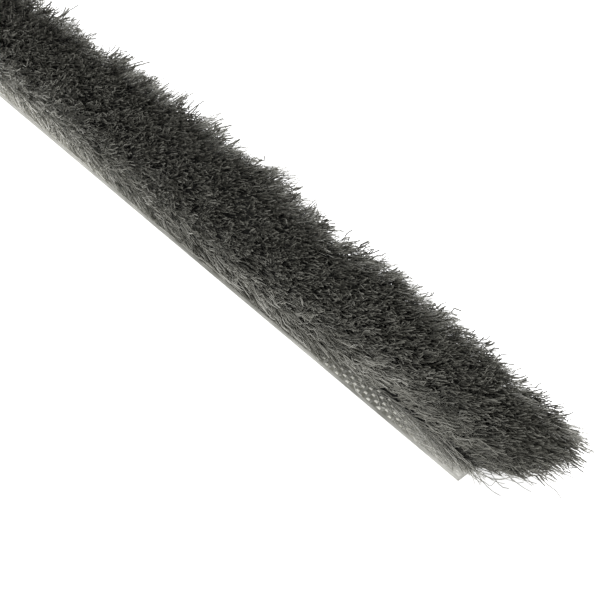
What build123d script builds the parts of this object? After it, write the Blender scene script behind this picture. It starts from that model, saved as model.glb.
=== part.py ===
"""Brush seal strip: a woven backing tape with a dense band of cut pile standing on its middle.

The strip lies along X with its back on the floor. The origin is the centre of the tape's back,
Z points out through the pile, and the pile lies over towards +X, as it does on stock that has
been wound on a reel. Millimetres and degrees throughout.
"""

import os
from math import cos, radians, sin

from build123d import *

# Woven backing tape, with a bare flange on each side of the pile for the slot that holds it
strip_length = 1000.0
tape_width = 6.9
tape_thickness = 0.5
flange_width = 1.0
selvedge_radius = 0.2

# Pile: how long its fibres are, how far the band fans out sideways and how much its crown domes
fibre_length = 6.8
side_fan = 0.3
crown_rise = 1.3

# Lean of the fibres from upright: all along the strip, in its last row and in its first row
pile_lean = 40.0
leading_lean = 58.0
trailing_lean = 28.0

# A fibre leaves the tape this much more upright than the straight line from root to tip
root_bend = 12.0

# The loose end that leans out past the tape: its round tip, and its round nose seen from above
leading_tip_radius = 0.9
nose_length = 6.1

tape_end = strip_length / 2
half_root = tape_width / 2 - flange_width
half_crown = half_root + side_fan
half_nose = half_crown + side_fan
pile_top = tape_thickness + fibre_length * cos(radians(pile_lean))
shoulder_height = pile_top - crown_rise
upright_top = tape_thickness + fibre_length


def direction(lean):
    """Unit direction, in the side view, of a fibre that leans over by this many degrees."""
    return Vector(sin(radians(lean)), cos(radians(lean)))


# The tape: a flat woven ribbon with rounded selvedges
with BuildPart() as backing_tape:
    with BuildSketch(Plane.YZ.offset(-tape_end)):
        with Locations((0, tape_thickness / 2)):
            RectangleRounded(tape_width, tape_thickness, selvedge_radius)
    extrude(amount=strip_length)

# The pile: its cross-section run past the tape's end, trimmed from the side and from above
with BuildPart() as pile:
    with BuildSketch(Plane.YZ.offset(-tape_end)):
        with BuildLine():
            crown = EllipticalCenterArc(
                (0, shoulder_height), half_crown, crown_rise, start_angle=0, arc_size=180
            )
            Polyline(crown @ 1, (-half_root, tape_thickness), (half_root, tape_thickness), crown @ 0)
        make_face()
    extrude(amount=strip_length + fibre_length)

    # Side view: every fibre is as long, so the tips of the last row lie on an arc about its root
    with BuildSketch(Plane.XZ) as side_view:
        with BuildLine():
            last_root = Vector(tape_end, tape_thickness)
            first_root = Vector(-tape_end, tape_thickness)
            last_tips = CenterArc(last_root, fibre_length, 90 - leading_lean, leading_lean)
            TangentArc(last_root, last_tips @ 0, tangent=direction(leading_lean - root_bend))
            first_tip = first_root + direction(trailing_lean) * fibre_length
            TangentArc(first_root, first_tip, tangent=direction(trailing_lean - root_bend))
            Polyline(last_tips @ 1, (first_tip.X, upright_top), first_tip)
            Line(first_root, last_root)
        make_face()
        lowest_tip = side_view.vertices().sort_by(Axis.X)[-1]
        fillet(lowest_tip, radius=leading_tip_radius)
    extrude(amount=tape_width, both=True, mode=Mode.INTERSECT)

    # Seen from above: the outer fibres reach out less far than the middle ones
    with BuildSketch(Plane.XY):
        with BuildLine():
            nose = EllipticalCenterArc(
                (tape_end, 0), nose_length, half_nose, start_angle=-90, arc_size=180
            )
            Polyline(nose @ 1, (-tape_end, half_nose), (-tape_end, -half_nose), nose @ 0)
        make_face()
    extrude(amount=upright_top, mode=Mode.INTERSECT)

backing_tape.part.label = "backing_tape"
pile.part.label = "pile"

os.makedirs("parts", exist_ok=True)
export_step(backing_tape.part, "parts/backing_tape.step")
export_step(pile.part, "parts/pile.step")
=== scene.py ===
"""A metre of brush seal strip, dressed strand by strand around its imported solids."""

from math import cos, radians, sin

import bpy
import numpy as np
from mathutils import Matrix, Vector


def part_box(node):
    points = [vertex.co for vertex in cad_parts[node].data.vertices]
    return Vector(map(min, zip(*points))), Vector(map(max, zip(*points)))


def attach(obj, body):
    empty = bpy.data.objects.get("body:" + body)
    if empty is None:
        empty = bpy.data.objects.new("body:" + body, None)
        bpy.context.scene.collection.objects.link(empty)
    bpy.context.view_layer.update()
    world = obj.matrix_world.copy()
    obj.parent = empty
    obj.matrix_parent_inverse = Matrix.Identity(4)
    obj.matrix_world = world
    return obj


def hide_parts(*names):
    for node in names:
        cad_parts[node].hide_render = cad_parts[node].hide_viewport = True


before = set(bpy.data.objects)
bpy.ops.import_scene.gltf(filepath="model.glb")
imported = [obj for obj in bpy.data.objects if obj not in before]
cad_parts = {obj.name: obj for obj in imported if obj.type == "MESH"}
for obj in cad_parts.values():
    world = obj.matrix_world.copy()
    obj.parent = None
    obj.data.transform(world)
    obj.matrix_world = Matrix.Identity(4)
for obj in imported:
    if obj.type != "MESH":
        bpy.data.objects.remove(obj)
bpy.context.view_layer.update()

# Camera, light and floor. A close view down on the cut end with a long macro lens, in a white
# light tent: the sky is even and soft, one large lamp stands behind the strip, and the pale
# floor glows a little, as the bed of a light table does, so that it throws hardly a shadow.
MM = 0.001
view_azimuth = radians(47.48)
view_elevation = radians(48.75)
view_distance = 115.13 * MM
look_at = Vector((482.83 * MM, -0.57 * MM, 0.0))
towards_camera = Vector((
    sin(view_azimuth) * cos(view_elevation),
    -cos(view_azimuth) * cos(view_elevation),
    sin(view_elevation),
))


def paint(hex_code):
    """An sRGB hex colour as linear red, green, blue and alpha."""
    parts = np.array([int(hex_code[i:i + 2], 16) for i in (1, 3, 5)]) / 255
    linear = np.where(parts > 0.04045, ((parts + 0.055) / 1.055) ** 2.4, parts / 12.92)
    return (*linear.tolist(), 1.0)


def add(tree, kind, settings=None, **links):
    """Adds a node, sets its properties or its numbered and named inputs, and links sockets in."""
    node = tree.nodes.new(kind)
    for key, value in (settings or {}).items():
        if isinstance(key, int) or key in node.inputs:
            node.inputs[key].default_value = value
        else:
            setattr(node, key, value)
    for key, socket in links.items():
        name = int(key[1:]) if key[0] == "_" and key[1:].isdigit() else key.replace("_", " ")
        tree.links.new(socket, node.inputs[name])
    return node


def new_material(name):
    """An empty node material with its output, and the material's node tree."""
    material = bpy.data.materials.new(name)
    material.use_nodes = True
    material.node_tree.nodes.clear()
    return material, material.node_tree


camera_data = bpy.data.cameras.new("macro_lens")
camera_data.lens = 105
camera_data.sensor_width = 36
camera_data.clip_start = 5 * MM
camera_data.clip_end = 100
camera = bpy.data.objects.new("camera", camera_data)
camera.location = look_at + towards_camera * view_distance
camera.rotation_euler = towards_camera.to_track_quat("Z", "Y").to_euler()
bpy.context.collection.objects.link(camera)
bpy.context.scene.camera = camera
bpy.context.scene.view_settings.view_transform = "Standard"

world = bpy.data.worlds.new("light_tent")
world.use_nodes = True
world.node_tree.nodes["Background"].inputs["Color"].default_value = paint("#ffffff")
world.node_tree.nodes["Background"].inputs["Strength"].default_value = 1.0
bpy.context.scene.world = world

key_data = bpy.data.lights.new("soft_key", "AREA")
key_data.shape = "RECTANGLE"
key_data.size = 1.6
key_data.size_y = 1.0
key_data.energy = 9
key = bpy.data.objects.new("soft_key", key_data)
key.location = (0.75, 0.55, 1.1)
key.rotation_euler = (key.location - look_at).to_track_quat("Z", "Y").to_euler()
bpy.context.collection.objects.link(key)

floor_data = bpy.data.meshes.new("floor")
floor_half = 30.0
floor_data.from_pydata(
    [(-floor_half, -floor_half, 0), (floor_half, -floor_half, 0),
     (floor_half, floor_half, 0), (-floor_half, floor_half, 0)], [], [(0, 1, 2, 3)],
)
floor = bpy.data.objects.new("floor", floor_data)
bpy.context.collection.objects.link(floor)

# Cast opal acrylic, lit from below: matt and as white as the tent, so no edge of it shows.
opal, tree = new_material("opal_acrylic_floor")
surface = add(tree, "ShaderNodeBsdfPrincipled", {
    "Base Color": paint("#f2f2f2"), "Roughness": 0.6, "Emission Color": paint("#ffffff"),
    "Emission Strength": 0.7,
})
add(tree, "ShaderNodeOutputMaterial", Surface=surface.outputs[0])
floor_data.materials.append(opal)

# The backing tape: a flat ribbon of polypropylene yarns, woven under and over, with a coat of
# clear resin on its back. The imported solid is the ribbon's body, and its yarns are raised on the
# two bare flanges. The cut end is sealed with heat, which melts the yarns flat.
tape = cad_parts["backing_tape"]
tape_end, half_tape, tape_top = (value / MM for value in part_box("backing_tape")[1])
flange = 1.0
pick_pitch = 0.475
end_pitch = 0.235
yarn_rise = 0.08
weave_depth = 0.03
mottle_size = 0.3
mottle_stretch = 5
mottle_strength = 0.3
sealed_from = tape_end - 5
sealed_to = tape_end - 2.5
shown_length = 60
fine_from = tape_end - shown_length

# How pale the flanges are, and how strong their yarns' painted highlight, at distances in mm from the shown
# end.
paleness = [(-60, 1.0), (-37, 1.0), (-33, 0.75), (-28, 0.6), (-26, 0.45), (-24, 0.3), (-21, 0.25),
            (-17, 0.7), (-13.5, 0.85), (-11.5, 0.55), (-7.5, 0.2), (-5, 0.45), (-3, 0.8), (0, 1.0)]
yarn_highlight_strength = [(-60, 0.15), (-14, 0.2), (-11, 0.85), (-7, 0.8), (-5, 0.5), (-3, 0.1)]


def step(x, low, high):
    """Rises smoothly from 0 at low to 1 at high."""
    t = np.clip((x - low) / (high - low), 0, 1)
    return t * t * (3 - 2 * t)


def between(stations, x):
    """Reads pairs of distance from the shown end and value along the strip, in millimetres."""
    places, values = zip(*stations)
    return np.interp(x - tape_end, places, values)


def new_piece(name, points, faces, material, maps=None):
    """A mesh piece from points in millimetres that rides on the strip's one body."""
    data = bpy.data.meshes.new(name)
    data.vertices.add(len(points))
    data.vertices.foreach_set("co", (points * MM).astype(np.float32).ravel())
    sizes = np.concatenate([np.full(len(part), part.shape[1]) for part in faces])
    corners = np.concatenate([part.ravel() for part in faces])
    data.loops.add(len(corners))
    data.loops.foreach_set("vertex_index", corners.astype(np.int32))
    data.polygons.add(len(sizes))
    data.polygons.foreach_set("loop_start", (np.cumsum(sizes) - sizes).astype(np.int32))
    data.polygons.foreach_set("use_smooth", np.ones(len(sizes), bool))
    if maps is not None:
        flat = np.concatenate([part.reshape(-1, 2) for part in maps]).astype(np.float32)
        for layer in ("strand", "OFBake"):
            data.uv_layers.new(name=layer).data.foreach_set("uv", flat.ravel())
    data.update(calc_edges=True)
    data.materials.append(material)
    piece = bpy.data.objects.new(name, data)
    bpy.context.collection.objects.link(piece)
    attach(piece, "root")
    return piece


# Woven polypropylene, dyed grey: dull in the hollows of the weave, with a slight gloss, paler
# where it was sealed or where the resin has come through, and painted darker on its thin side as shade.
side_shade_level = 0.42
woven, tree = new_material("woven_polypropylene_tape")
place = add(tree, "ShaderNodeTexCoord")
parts = add(tree, "ShaderNodeSeparateXYZ", Vector=place.outputs["Object"])
waves = []
for axis, pitch in enumerate((pick_pitch, end_pitch)):
    turns = add(tree, "ShaderNodeMath", {"operation": "MULTIPLY", 1: np.pi / (pitch * MM)},
                _0=parts.outputs[axis])
    waves.append(add(tree, "ShaderNodeMath", {"operation": "SINE"}, _0=turns.outputs[0]))
weave = add(tree, "ShaderNodeMath", {"operation": "MULTIPLY"},
            _0=waves[0].outputs[0], _1=waves[1].outputs[0])
along = add(tree, "ShaderNodeMapRange", {1: fine_from * MM, 2: tape_end * MM}, Value=parts.outputs[0])
pale = add(tree, "ShaderNodeValToRGB", Fac=along.outputs[0])
stops = pale.color_ramp.elements
for distance, _ in paleness[1:-1]:
    stops.new(1 + distance / shown_length)
for stop, (_, level) in zip(stops, paleness):
    stop.color = (level, level, level, 1)
drawn = add(tree, "ShaderNodeVectorMath", {"operation": "MULTIPLY", 1: (1 / mottle_stretch, 1.0, 1.0)},
            _0=place.outputs["Object"])
fine = add(tree, "ShaderNodeTexNoise", {"Scale": 1 / (mottle_size * MM), "Detail": 4.0},
           Vector=drawn.outputs[0])
mottle = add(tree, "ShaderNodeMapRange", {3: -mottle_strength, 4: mottle_strength}, Value=fine.outputs[0])
# The thin side below the top's edge is painted darker, as shade.
painted_side_shade = add(tree, "ShaderNodeMapRange", {1: 0.9 * tape_top * MM, 2: tape_top * MM, 3: side_shade_level, 4: 1.0},
             Value=parts.outputs[2])
grey = add(tree, "ShaderNodeMath", {"operation": "MULTIPLY"}, _0=pale.outputs[0], _1=painted_side_shade.outputs[0])
grey = add(tree, "ShaderNodeMath", {"operation": "ADD", "use_clamp": True},
           _0=grey.outputs[0], _1=mottle.outputs[0])
tone = add(tree, "ShaderNodeValToRGB", Fac=grey.outputs[0])
tone.color_ramp.elements[0].color = paint("#63635c")
tone.color_ramp.elements[1].color = paint("#efeee8")
height = add(tree, "ShaderNodeMath", {"operation": "ADD"}, _0=weave.outputs[0], _1=fine.outputs[0])
bump = add(tree, "ShaderNodeBump", {"Strength": 0.5, "Distance": weave_depth * MM},
           Height=height.outputs[0])
surface = add(tree, "ShaderNodeBsdfPrincipled", {"Roughness": 0.7, "IOR": 1.49},
              Base_Color=tone.outputs[0], Normal=bump.outputs[0])
add(tree, "ShaderNodeOutputMaterial", Surface=surface.outputs[0])
for slot in tape.material_slots:
    slot.material = woven

# Yarn crowns, coloured by their height: each is painted nearly white on top as a highlight, grading
# down to the grey of the hollows between, which pale as the tape does.
highlighted_yarn, tree = new_material("polypropylene_yarn_painted_highlight")
strand = add(tree, "ShaderNodeUVMap", {"uv_map": "strand"})
parts = add(tree, "ShaderNodeSeparateXYZ", Vector=strand.outputs[0])
grey = add(tree, "ShaderNodeMath", {"operation": "MAXIMUM"}, _0=parts.outputs[0], _1=parts.outputs[1])
tone = add(tree, "ShaderNodeValToRGB", Fac=grey.outputs[0])
tone.color_ramp.elements[0].color = paint("#5c5c56")
tone.color_ramp.elements[1].color = paint("#f7f6ee")
tone.color_ramp.elements[1].position = 0.62
tone.color_ramp.elements.new(0.45).color = paint("#bdbcb1")
surface = add(tree, "ShaderNodeBsdfPrincipled", {"Roughness": 0.35, "IOR": 1.49}, Base_Color=tone.outputs[0])
add(tree, "ShaderNodeOutputMaterial", Surface=surface.outputs[0])

# Forms of a raised yarn, in shares of its length, width and rise. An end that crosses a pick is a
# flat-topped pillow in the shown stretch and a plain hump in the rest, and a pick is a low ridge.
corners = np.array([(-1, -1), (1, -1), (1, 1), (-1, 1)])
foot = [(0.38 * a, 0.48 * b, 0) for a, b in corners]
pillow = np.array(foot + [(0.2 * a, 0.3 * b, 1) for a, b in corners])
pillow_faces = [np.array([(4, 5, 6, 7)] + [(i, (i + 1) % 4, (i + 1) % 4 + 4, i + 4) for i in range(4)])]
hump = np.array(foot + [(0, 0, 1)])
hump_faces = [np.array([(i, (i + 1) % 4, 4) for i in range(4)])]
ridge = np.array([(-0.42, 0, 0), (0.42, 0, 0), (0, 0, 1), (-0.42, 1, 0), (0.42, 1, 0), (0, 1, 1)])
ridge_faces = [np.array([(0, 2, 5, 3), (2, 1, 4, 5)])]

ends_on_flange = 5
outer_end_inset = 0.16
ridge_inset = 0.03
ridge_rise = 0.4 * yarn_rise
# How much painted highlight the tops of the ends and of the picks take.
end_highlight = 0.93
pick_highlight = 0.2
sink = 0.02
map_margin = 0.02
map_width = 0.004
pick = np.arange(int(-tape_end / pick_pitch) + 1, int(sealed_to / pick_pitch))
shown_pick = pick[pick * pick_pitch > fine_from]


def yarn_row(hand, form, form_faces, size, y, over, top_highlight):
    """One row of raised yarn forms on a flange, a form at each given pick, melted flat at the end.

    Their map runs with the tape's paleness across and with the painted highlight on the yarn's top up.
    """
    x = over * pick_pitch
    melted = step(x, sealed_from, sealed_to)[:, None]
    points = np.repeat((form * size)[None], len(x), axis=0)
    points[:, :, 2] = tape_top + points[:, :, 2] * (1 - melted) - sink * (form[:, 2] == 0)
    points[:, :, 0] += x[:, None]
    points[:, :, 1] = hand * (points[:, :, 1] + y)
    pale, highlight_share = (between(stations, x)[:, None, None] for stations in (paleness, yarn_highlight_strength))
    faces, maps = [], []
    for part in form_faces:
        part = part[:, ::hand]
        faces.append((np.arange(len(x))[:, None, None] * len(form) + part).reshape(-1, part.shape[1]))
        u = map_margin + (0.5 - map_margin) * pale + map_width * (np.arange(part.shape[1]) % 2)
        # The map's height, and with it the painted highlight, rises to the yarn's top.
        v = map_margin + top_highlight * form[part][:, :, 2] * highlight_share
        maps.append(np.stack(np.broadcast_arrays(u, v), axis=-1).reshape(-1, part.shape[1], 2))
    return points.reshape(-1, 3), faces, maps


rows = []
for hand in (-1, 1):
    for row in range(ends_on_flange):
        y = half_tape - outer_end_inset - row * end_pitch
        size = (pick_pitch, end_pitch, yarn_rise)
        over = pick[(pick + row) % 2 == 0]
        fine_over = over[over >= shown_pick[0]]
        coarse_over = over[over < shown_pick[0]]
        rows.append(yarn_row(hand, pillow, pillow_faces, size, y, fine_over, end_highlight))
        rows.append(yarn_row(hand, hump, hump_faces, size, y, coarse_over, end_highlight))
    size = (pick_pitch, flange, ridge_rise)
    y = half_tape - flange - ridge_inset
    rows.append(yarn_row(hand, ridge, ridge_faces, size, y, shown_pick, pick_highlight))
yarn_points, yarn_faces, yarn_maps = zip(*rows)
first = np.cumsum([0] + [len(points) for points in yarn_points])
new_piece("tape_yarns", np.concatenate(yarn_points),
          [part + start for faces, start in zip(yarn_faces, first) for part in faces],
          highlighted_yarn, [part for maps in yarn_maps for part in maps])

# The pile's heart: the dense band of cut polypropylene fibre, woven into the middle of the tape,
# whose packed lower length shows only as dark between the strands. All of it leans towards the
# shown end and hangs a little to the near side.
pile_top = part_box("pile")[1][2] / MM
half_root = half_tape - flange
degree = radians(1)
lean = 40 * degree
fibre_length = (pile_top - tape_top) / cos(lean)

# How far across the near and the far tips reach, and how deep under the tips the heart's top lies,
# at distances from the shown end. It lies deeper where the strands are coarser.
near_edge = [(-80, -2.9), (-46, -3.5), (-38, -3.1), (-30, -3.4), (-19, -3.8), (-13, -3.1), (-8, -2.4),
             (-5, -2.2), (4, -2.2), (5.5, -1.1), (7, -0.7)]
far_edge = [(-80, 2.5), (-49, 1.8), (-46.5, 1.4), (-44, 1.8), (-42, 1.45), (-39.5, 1.6), (-37.5, 2.4),
            (-35, 2.1), (-33, 2.4), (-29, 2.7), (-27, 2.15), (-25, 2.5), (-22.5, 2.8), (-19, 2.1),
            (-15.5, 1.4), (-13, 1.9), (-11, 2.2), (-9, 1.7), (-6, 1.6), (-4.5, 1.75), (-1.5, 1.5),
            (0.5, 1.15), (3.5, 1.2), (5.5, 1.4), (7, 1.2)]
heart_depth = [(-118, 2.2), (-108, 1.05)]
deep_to, shallow_from = (tape_end + place for place, _ in heart_depth)
edges_from = tape_end + near_edge[0][0]
heart_inset = 0.6


def own_lean(x, side):
    """Lean at a root: the strip's own, but less at the hidden end, and more at the shown one."""
    shown_reach, shown_turn = 4, 8 + 2 * side
    hidden_reach, hidden_turn = 3.5, 12
    last = step(x, tape_end - shown_reach, tape_end) * shown_turn * degree
    first = step(-x, tape_end - hidden_reach, tape_end) * hidden_turn * degree
    return lean + last - first


# Polypropylene fibre in the shade of its neighbours, painted near black as that shade, with no
# gloss of its own, and mottled by its bundles.
bundle_width = 0.25
packed, tree = new_material("packed_fibre_shade")
place = add(tree, "ShaderNodeTexCoord")
grain = add(tree, "ShaderNodeTexNoise", {"Scale": 1 / (bundle_width * MM)}, Vector=place.outputs["Object"])
tone = add(tree, "ShaderNodeValToRGB", Fac=grain.outputs[0])
tone.color_ramp.elements[0].color = paint("#0e0e0c")
tone.color_ramp.elements[1].color = paint("#252522")
surface = add(tree, "ShaderNodeBsdfPrincipled", {"Roughness": 0.9}, Base_Color=tone.outputs[0])
add(tree, "ShaderNodeOutputMaterial", Surface=surface.outputs[0])

# Sections stand close together only where the edges wander and can be seen. Each goes round by the
# near root, belly and shoulder, the top, and the far shoulder, belly and root, and each of these
# has its share of the height.
stations = np.concatenate([
    np.linspace(-tape_end + heart_inset, deep_to, 12),
    np.linspace(shallow_from, tape_end - 85, 4),
    np.linspace(edges_from, tape_end - 8, 58),
    [tape_end - 5, tape_end - 3],
])
section = []
for x in stations:
    heart_top = pile_top - tape_top - between(heart_depth, x)
    slope = np.tan(own_lean(x, 0))
    tip = x + slope * heart_top
    near, far = between(near_edge, tip), between(far_edge, tip)
    around = [(-half_root + 0.35, 0), (near + 0.85, 0.62), (near + 1.5, 0.92), ((near + far) / 2, 1),
              (far - 0.4, 0.97), (far + 0.1, 0.74), (half_root - 0.2, 0)]
    for y, share in around:
        section.append((x + slope * share * heart_top, y, tape_top + share * heart_top))
index = np.arange(len(section)).reshape(len(stations), -1)
turned = np.roll(index, -1, axis=1)
sides = np.stack([index[:-1], turned[:-1], turned[1:], index[1:]], axis=-1).reshape(-1, 4)
caps = np.stack([index[0, ::-1], index[-1]])
heart = new_piece("pile_heart", np.array(section, float), [sides, caps], packed)
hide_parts("pile")

# The crown: the cut tips of the fibres, which make the pile's top in small leaning locks. The
# fibre is drawn and crimped before it is woven in, and sheared level after. Strands are a little
# thicker than real fibre in the shown stretch and much coarser in the rest, which is seen from afar.
rng = np.random.default_rng(7)
# The crown's tone along the strip, painted darker away from the shown end as shade, where less light
# reaches.
crown_tone_and_shade = [(-80, 0.36), (-42, 0.38), (-30, 0.41), (-15, 0.42), (0, 0.42)]
crown_palest = 0.6
shade_range = (0.01, 0.98)
uneven = (0.7, 1.3)

# Drawn polypropylene fibre, dyed dark grey: smooth, so it takes a soft light along its length,
# and dull, with painted shade darkening it towards the roots, where the strands shade each other.
fibre, tree = new_material("drawn_polypropylene_fibre")
strand = add(tree, "ShaderNodeUVMap", {"uv_map": "strand"})
parts = add(tree, "ShaderNodeSeparateXYZ", Vector=strand.outputs[0])
dye = add(tree, "ShaderNodeValToRGB", Fac=parts.outputs[0])
dye.color_ramp.elements[0].color = paint("#434239")
dye.color_ramp.elements[1].color = paint("#ecebe4")
dye.color_ramp.elements.new(0.6).color = paint("#7e7d75")
# The colour is scaled down towards the root: painted shade.
rise = add(tree, "ShaderNodeMapRange", {1: 0.0, 2: 0.8, 3: 0.06, 4: 1.0}, Value=parts.outputs[1])
tint = add(tree, "ShaderNodeVectorMath", {"operation": "SCALE"}, _0=dye.outputs[0], Scale=rise.outputs[0])
surface = add(tree, "ShaderNodeBsdfPrincipled", {"Roughness": 0.65, "IOR": 1.49}, Base_Color=tint.outputs[0])
add(tree, "ShaderNodeOutputMaterial", Surface=surface.outputs[0])


def drift(x, y, wavelength, seed, terms=6):
    """Smooth seeded noise about zero, of unit spread, over the tape in millimetres."""
    local = np.random.default_rng(seed)
    total = np.zeros_like(x)
    for _ in range(terms):
        turn, phase = local.uniform(0, 2 * np.pi, 2)
        k = 2 * np.pi / (wavelength * local.uniform(0.7, 1.4))
        total += np.sin(k * (np.cos(turn) * x + np.sin(turn) * y) + phase)
    return total / np.sqrt(terms / 2)


def own_splay(x, side):
    """Sideways lean that takes a strand from its row at the root to its place in the crown."""
    reach = x + fibre_length * np.sin(own_lean(x, side))
    near, far = between(near_edge, reach), between(far_edge, reach)
    across = near + (far - near) * (side + 1) / 2
    return (across - side * half_root) / fibre_length


def sheared(side):
    """Share of its length that the shears leave to a strand: less in the outer rows."""
    return 1 - 0.12 * np.abs(side) ** 3


def spray(values, lock, amount):
    """Repeats each value for the strands of one lock, and spreads the copies a little."""
    return np.repeat(values, lock) + rng.normal(0, amount, len(values) * lock)


def bend_over(x, y, leans, splay, length, shown, levels, crimp, waves, lock=1):
    """Lines of strands that turn at an even rate from one lean to the next, with a slight crimp.

    Only the last stretch of each, as long as shown says, gets points. The strands of one lock are
    crimped alike. None goes through the tape or the floor, or further over the tape's edge than
    its height lets it hang.
    """
    blunt, clear, overhang, least_turn = 0.07, 0.04, 0.45, 0.01
    faint, strong = 0.3, 1.5
    first, last = (np.broadcast_to(angle, x.shape)[:, None] for angle in leans)
    shown = np.minimum(shown, length)[:, None]
    length, splay = length[:, None], splay[:, None]
    t = np.append(np.linspace(0, 1, levels - 1), 1)[None, :] * np.ones_like(shown)
    t[:, :-1] *= 1 - blunt / shown
    t = 1 - (1 - t) * shown / length
    turn = last - first
    turn = np.where(np.abs(turn) < least_turn, least_turn, turn)
    now = first + turn * t
    reach = length * (np.cos(first) - np.cos(now)) / turn
    rise = length * (np.sin(now) - np.sin(first)) / turn
    locks = len(x) // lock
    lowest = np.array([[0, 0, waves[0], faint]])
    highest = np.array([[2 * np.pi, 2 * np.pi, waves[1], strong]])
    roll, phase, wave, size = np.repeat(rng.uniform(lowest, highest, (locks, 4)), lock, axis=0).T[..., None]
    ripple = crimp * size * t * np.sin(2 * np.pi * t * length / wave + phase)
    along = x[:, None] + reach + ripple * np.sin(roll) * np.cos(now)
    across = y[:, None] + length * np.sin(splay) * t + ripple * np.cos(roll)
    height = tape_top + rise * np.cos(splay) - ripple * np.sin(roll) * np.sin(now)
    height = np.maximum(height, np.where(along < tape_end, tape_top + clear, clear))
    brim = half_tape - clear + overhang * (height - tape_top)
    return np.stack([along, np.clip(across, -brim, brim), height], axis=-1)


def grow(name, lines, width, shade, root_light=0.02):
    """Strands as three-sided rods with blunt tips, all in one mesh, along given lines.

    A strand's map runs with its shade across and with its height, from root_light, up, which the fibre
    material turns into painted shade towards the root.
    """
    n, levels = lines.shape[:2]
    rings = levels - 1
    off_any_strand = [0.31, 0.93, 0.18]
    along = np.gradient(lines, axis=1)
    along /= np.linalg.norm(along, axis=2, keepdims=True)
    across = np.cross(along, off_any_strand)
    across /= np.linalg.norm(across, axis=2, keepdims=True)
    over = np.cross(along, across)
    angles = rng.uniform(0, 2 * np.pi, n)[:, None, None] + np.arange(3) * 2 * np.pi / 3
    angles = angles[..., None]
    reach = np.cos(angles) * across[:, :rings, None] + np.sin(angles) * over[:, :rings, None]
    ring = lines[:, :rings, None] + reach * width[:, None, None, None] / 2
    points = np.concatenate([ring.reshape(n, rings * 3, 3), lines[:, -1:]], axis=1)
    start = np.arange(n)[:, None] * (rings * 3 + 1)
    light = np.linspace(root_light, 1 - map_margin, levels)
    quads, quad_maps, tips, tip_maps = [], [], [], []
    for a, b in ((0, 1), (1, 2), (2, 0)):
        for low in range(rings - 1):
            foot, head = low * 3, low * 3 + 3
            quads.append(start + np.array([foot + a, foot + b, head + b, head + a]))
            u = shade[:, None] + map_width * np.array([0, 1, 1, 0])
            quad_maps.append(np.stack(np.broadcast_arrays(u, light[[low, low, low + 1, low + 1]]), axis=-1))
        tips.append(start + rings * 3 + np.array([a - 3, b - 3, 0]))
        u = shade[:, None] + map_width * np.array([0, 1, 0.5])
        tip_maps.append(np.stack(np.broadcast_arrays(u, light[[-2, -2, -1]]), axis=-1))
    faces = [np.concatenate(part) for part in (quads, tips) if part]
    maps = [np.concatenate(part) for part in (quad_maps, tip_maps) if part]
    return new_piece(name, points.reshape(-1, 3), faces, fibre, maps)


def crown_tufts(name, start, stop, per_mm, width, shown, levels, crimp=0.13, lock=3):
    """Cut tips between two places along the strip, in locks. Bend and stray are in degrees."""
    most_bend, most_stray, far_bias, ragged, scatter = 25, 16, 1.1, 0.22, 0.05
    root_turn, tip_turn = -14, 16
    n = int((stop - start) * per_mm / lock)
    x = rng.uniform(start, stop, n)
    side = 1 - 2 * rng.uniform(0, 1, n) ** far_bias
    y = side * half_root
    shoulder = step(np.abs(side), 0.6, 1)
    bend = rng.normal(0, 9, n) + drift(x, y, 2.4, 11) * 4 + drift(x, y, 0.8, 12) * 5
    bend = np.clip(bend, -most_bend, most_bend) * degree
    stray = rng.normal(0, 7, n) + drift(x, y, 2.8, 13) * 2 + drift(x, y, 0.9, 14) * 4
    stray = np.clip(stray, -most_stray, most_stray) * degree
    splay = own_splay(x, side) + stray * (1 - 0.45 * np.abs(side))
    length = fibre_length * (sheared(side) - rng.uniform(0, ragged, n) * shoulder)
    length += drift(x, y, 3.2, 15) * 0.10 + drift(x, y, 1.1, 16) * 0.08 - rng.exponential(0.2, n)
    base = spray(own_lean(x, side), lock, 0)
    x, y = spray(x, lock, scatter), spray(y, lock, scatter)
    bend, splay = spray(bend, lock, 4 * degree), spray(splay, lock, 2 * degree)
    length = spray(length, lock, 0.12)
    leans = (base + root_turn * degree + bend * 0.3, base + tip_turn * degree + bend)
    lines = bend_over(x, y, leans, splay, length, np.full(len(x), shown), levels, crimp, (0.8, 1.7), lock)
    shade = between(crown_tone_and_shade, x) + drift(x, y, 0.9, 17) * 0.14 + drift(x, y, 3.0, 18) * 0.07
    shade = np.clip(shade + np.repeat(rng.normal(0, 0.06, n), lock), shade_range[0], crown_palest)
    return grow(name, lines, width * rng.uniform(*uneven, len(x)), shade, root_light=0.2)


for name, start, stop in (("pile_crown_shown_end", tape_end - 20, tape_end),
                          ("pile_crown_next", tape_end - 40, tape_end - 20),
                          ("pile_crown_third", fine_from, tape_end - 40)):
    crown_tufts(name, start, stop, per_mm=380, width=0.068, shown=1.0, levels=4)
crown_tufts("pile_crown_further", fine_from - 50, fine_from, per_mm=60, width=0.17, shown=2.6, levels=4)
crown_tufts("pile_crown_rest", -tape_end + 10, fine_from - 50, per_mm=22, width=0.45, shown=3.0, levels=2,
            crimp=0, lock=1)
crown_tufts("pile_crown_hidden_end", -tape_end, -tape_end + 10, per_mm=60, width=0.17, shown=2.6, levels=4)

# The outer rows on each side: whole fibres, seen from root to tip. On the near side the guide has
# pressed them over, the outermost furthest, so they make a paler band beside the dark crown, and
# the further a strand is pressed over, the paler it is painted, as painted light.
rng = np.random.default_rng(8)
outer_share = 0.2
drawn_share = (0.34, 0.88)
far_tone = 0.45

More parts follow.
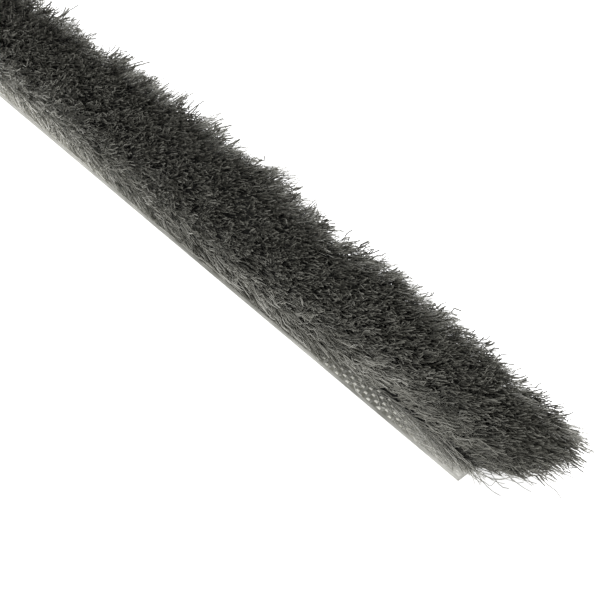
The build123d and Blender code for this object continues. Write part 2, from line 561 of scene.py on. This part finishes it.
# At distances from the shown end: how far the near rows are pressed over, how pale they are, and
# how unruly the rows are.
near_lay = [(-80, 0.55), (-36, 0.55), (-30, 0.7), (-16, 0.75), (-12, 0.6), (-9, 0.4), (-5, 0.4), (-2, 0.2),
            (0, 0)]
near_tone = [(-80, 0.62), (-40, 0.62), (-36, 0.57), (-30, 0.57), (-27, 0.61), (-23, 0.62), (-18, 0.59),
             (-12, 0.62), (-9, 0.6), (-5, 0.54), (0, 0.46)]
unruliness = [(-20, 1.0), (-12, 0.5), (-7, 0.5), (-4, 0.3)]


def side_strands(name, start, stop, hand, per_mm, width, shown, levels, crimp=0.14, lock=3):
    """Strands of the outer rows on one side, between two places. Angles are in degrees."""
    root_turn, tip_turn = -7, 13
    pressed_root, pressed_tip, pressed_out = 36, 42, 6
    n = int((stop - start) * per_mm / lock)
    x = rng.uniform(start, stop, n)
    side = hand * (1 - outer_share * rng.uniform(0, 1, n) ** 1.3)
    lay = rng.uniform(0.08, 1, n) * between(near_lay, x) * (hand < 0)
    tone = between(near_tone, x) if hand < 0 else far_tone
    # Strands pressed further over, and so lying lower, are painted paler: painted light.
    shade = spray(tone + 0.1 * lay + rng.normal(0, 0.04, n), lock, 0.03)
    y = side * half_root
    unruly = between(unruliness, x)
    over = (rng.normal(0, 9, n) * unruly + drift(x, y, 2.5, 21) * 4) * degree
    stray = rng.normal(0, 7, n) * unruly + drift(x, y, 3.0, 22) * 2
    splay = own_splay(x, side) * 0.8 + (hand * pressed_out * lay + stray) * degree
    splay = spray(splay, lock, 1.5 * degree)
    length = rng.uniform(*drawn_share, n) + 0.1 * lay
    length = fibre_length * spray(length, lock, 0.03)
    base = own_lean(x, side)
    root_lean = spray(base + (pressed_root * lay + root_turn) * degree + over * 0.8, lock, 2 * degree)
    tip_lean = spray(base + (pressed_tip * lay + tip_turn) * degree + over, lock, 3 * degree)
    x, y = spray(x, lock, 0.06), spray(y, lock, 0.04)
    lines = bend_over(x, y, (root_lean, tip_lean), splay, length, np.full(len(x), shown), levels,
                      crimp, (0.9, 1.9), lock)
    width = width * rng.uniform(*uneven, len(x))
    return grow(name, lines, width, np.clip(shade, *shade_range), root_light=0.78)


side_strands("pile_side_near_shown", fine_from, tape_end, -1, per_mm=122, width=0.066, shown=1.7, levels=5,
             crimp=0.15)
side_strands("pile_side_far_shown", fine_from, tape_end, 1, per_mm=42, width=0.095, shown=3.2, levels=5)
for name, hand in (("pile_side_near_rest", -1), ("pile_side_far_rest", 1)):
    side_strands(name, -tape_end, fine_from, hand, per_mm=9, width=0.38, shown=5.6, levels=2,
                 crimp=0, lock=1)

# Strands that have worked loose from the near row and lie along the flange, held by nothing but
# the weave that they catch on. They cover it in places and leave it bare near the shown end, and
# away from that end they have paled.
lying_most = 3200
lying_length = (1.4, 4.0)
lying_width = 0.062
root_band = (-0.3, 0.12)
past_end = 0.5
gap_to_pile, gap_to_edge = 0.1, 0.15
resting = 0.6
paled_to = tape_end - 37
dark_from = tape_end - 32

# At distances from the shown end: how much of the flange they cover, how many are left, and how
# pale they are.
cover = [(-80, 0.6), (-36, 0.6), (-32, 0.9), (-29, 1.0), (-26, 0.95), (-24, 0.8), (-22, 1.0), (-18, 1.0),
         (-15, 0.9), (-12.5, 0.7), (-10.5, 0.15), (-6, 0.2), (-4, 0.3), (0, 0.2)]
thinned = [(-60, 1.0), (-15, 1.0), (-12.5, 0.05), (-6, 0.05), (-4, 0.15), (0, 0.15)]
lying_tone = [(-31, 0.66), (-25, 0.47), (-18, 0.48), (-13, 0.69)]

x = rng.uniform(fine_from, tape_end - 1, lying_most)
x = x[rng.uniform(0, 1, lying_most) < between(thinned, x)]
count = len(x)
y = -half_root - rng.uniform(*root_band, count)
length = np.minimum(rng.uniform(*lying_length, count), tape_end + past_end - x)
out = rng.uniform(0.1, 1, count)
rest = x + resting * length
edge = -half_root - gap_to_pile - out * between(cover, rest) * (flange - gap_to_edge)
splay = (edge - y) / length + rng.normal(0, 9, count) * degree
root_lean = rng.uniform(50, 78, count) * degree
tip_lean = root_lean + rng.uniform(10, 26, count) * degree
lines = bend_over(x, y, (root_lean, tip_lean), splay, length, length, levels=5, crimp=0.13,
                  waves=(1.2, 2.6))
paled = 1 - step(rest, paled_to, dark_from)
shade = between(lying_tone, x) + paled * (0.4 * out + 0.12 + drift(x, y, 1.4, 23) * 0.1)
shade = np.clip(shade + rng.normal(0, 0.05, count), *shade_range)
grow("pile_lying_strands", lines, lying_width * rng.uniform(*uneven, count), shade, root_light=0.9)

# Fluff on the near flange: the shortest and finest ends, rubbed off the outer row by the guide,
# which cling to the weave and point either way across. It is whitish away from the shown end and
# right at it, and thin where the bare weave shows.
fluff_most = 2000
fluff_length = (0.5, 1.8)
fluff_width = 0.04
fluff_lean = (84 * degree, 92 * degree)
fluffy = [(-60, 1.0), (-36, 1.0), (-32, 0.9), (-14, 0.8), (-11, 0.1), (-6, 0.2), (-3, 1.0), (0, 1.0)]
fluff_tone = [(-60, 0.95), (-37, 0.95), (-31, 0.85), (-26, 0.6), (-19, 0.42), (-14, 0.8), (0, 0.92)]
x = rng.uniform(fine_from, tape_end - 0.1, fluff_most)
x = x[rng.uniform(0, 1, len(x)) < between(fluffy, x)]
count = len(x)
y = -half_tape + 0.08 + (flange + 0.1) * rng.uniform(0, 1, count)
length = rng.uniform(*fluff_length, count)
splay = rng.normal(0, 25, count) * degree
lines = bend_over(x - length, y, fluff_lean, splay, length, length, levels=4, crimp=0.1, waves=(0.8, 1.6))
shade = np.clip(between(fluff_tone, x) + rng.normal(0, 0.12, count), *shade_range)
grow("pile_fluff_on_flange", lines, fluff_width * rng.uniform(0.6, 1.4, count), shade, root_light=0.8)

# The far fringe: the finest and longest tips of the same drawn fibre, in wisps that stand clear of
# the crown's far edge, painted pale for the light behind that shines through them.
wisps, lock = 400, 14
fringe_width = 0.021
fringe_shown = 2.4
fringe_turn = 8 * degree
x = rng.uniform(fine_from, tape_end, wisps)
side = rng.uniform(0.55, 1, wisps)
splay = spray(own_splay(x, side) + rng.uniform(-2, 5, wisps) * degree, lock, 1.5 * degree)
bend = spray(rng.uniform(-10, 14, wisps), lock, 4) * degree
length = fibre_length * spray(rng.uniform(0.98, 1.17, wisps), lock, 0.02)
base = spray(own_lean(x, side), lock, 0)
x, y = spray(x, lock, 0.14), spray(side * half_root, lock, 0.08)
lines = bend_over(x, y, (base - fringe_turn, base + fringe_turn + bend), splay, length,
                  np.full(len(x), fringe_shown), levels=4, crimp=0.1, waves=(1.2, 2.4), lock=lock)
# Pale shades: painted light, for the light that shines through the wisps.
shade = np.clip(rng.beta(5.0, 1.6, len(x)), *shade_range)
grow("pile_far_fringe", lines, fringe_width * rng.uniform(*uneven, len(x)), shade, root_light=0.45)


# The last rows at the two cut ends: nothing stands before them, so the shown end's fan out and
# downwards, least on the near side, and the hidden end's stand more upright.
def end_strands(name, where, outward, count, width, fan, levels):
    """Whole strands of the last rows at one cut end, from their roots in the tape."""
    rows_length, held_back, cut_back, turn = 1.5, 0.65, 0.12, 9 * degree
    least, most = fan
    low = rng.uniform(0, 1, count)
    x = where - outward * (rows_length * (1 - low) + rng.uniform(0, 0.3, count))
    side = rng.uniform(-1, 1, count)
    nearness = np.clip(0.3 - side, 0, 1)
    most = most * (1 - held_back * nearness)
    base = own_lean(x, side) + (least + (most - least) * low + rng.normal(0, 5, count)) * degree
    splay = own_splay(x, side) + rng.normal(0, 4, count) * degree
    length = fibre_length * rng.uniform(0.8, 1.0, count) * sheared(side)
    length *= 1 - cut_back * low ** 2 * nearness
    lines = bend_over(x, side * half_root, (base - turn, base + turn), splay, length, length,
                      levels, crimp=0.12, waves=(1.6, 3.2))
    shade = np.clip(0.24 + 0.55 * low ** 2 + rng.normal(0, 0.08, count), *shade_range)
    return grow(name, lines, width * (1 - 0.4 * low) * rng.uniform(*uneven, count), shade, root_light=0.1)


end_strands("pile_shown_end_rows", tape_end, 1, count=1500, width=0.055, fan=(-4, 12), levels=6)
end_strands("pile_hidden_end_rows", -tape_end, -1, count=400, width=0.13, fan=(-6, 4), levels=5)


# Loose hairs: single fibres that have sprung out of their rows. Some lie in slack curves below
# the cut end and at its corners, and some cross the dark crown.
def loose_hairs(name, x, side, leans, splay, length, waves, shades, levels):
    """Single hairs from given roots, whose lean goes from one given lean to the other."""
    hair_width, crimp, whole = 0.04, 0.2, 20.0
    first, last = (rng.uniform(*angles, len(x)) * degree for angles in leans)
    lines = bend_over(x, side * half_root, (first, last), rng.uniform(*splay, len(x)) * degree,
                      rng.uniform(*length, len(x)), np.full(len(x), whole), levels, crimp, waves)
    width = hair_width * rng.uniform(*uneven, len(x))
    return grow(name, lines, width, rng.uniform(*shades, len(x)), root_light=0.6)


loose_hairs("pile_loose_hairs_end", rng.uniform(tape_end - 0.8, tape_end, 120), rng.uniform(-1.0, 0.6, 120),
            leans=((90, 122), (0, 72)), splay=(-12, 42), length=(2.0, 4.6), waves=(2.0, 5.0),
            shades=(0.45, 0.8), levels=9)
loose_hairs("pile_loose_hairs_far_end", rng.uniform(tape_end - 0.8, tape_end, 60), rng.uniform(0, 1.0, 60),
            leans=((75, 95), (60, 95)), splay=(-5, 20), length=(3.2, 5.2), waves=(2.0, 5.0),
            shades=(0.4, 0.75), levels=10)
loose_hairs("pile_loose_hairs_corner", rng.uniform(tape_end - 2.2, tape_end, 70),
            rng.uniform(-1.05, -0.85, 70), leans=((50, 85), (75, 115)), splay=(-30, 5),
            length=(0.7, 1.9), waves=(1.5, 3.0), shades=(0.6, 0.95), levels=8)
loose_hairs("pile_loose_hairs_crown", tape_end - shown_length * rng.uniform(0, 1, 110) ** 1.6,
            rng.uniform(-1.0, 0.2, 110), leans=((10, 50), (50, 100)), splay=(-22, 12),
            length=(5.5, 7.2), waves=(2.0, 5.0), shades=(0.45, 0.72), levels=14)
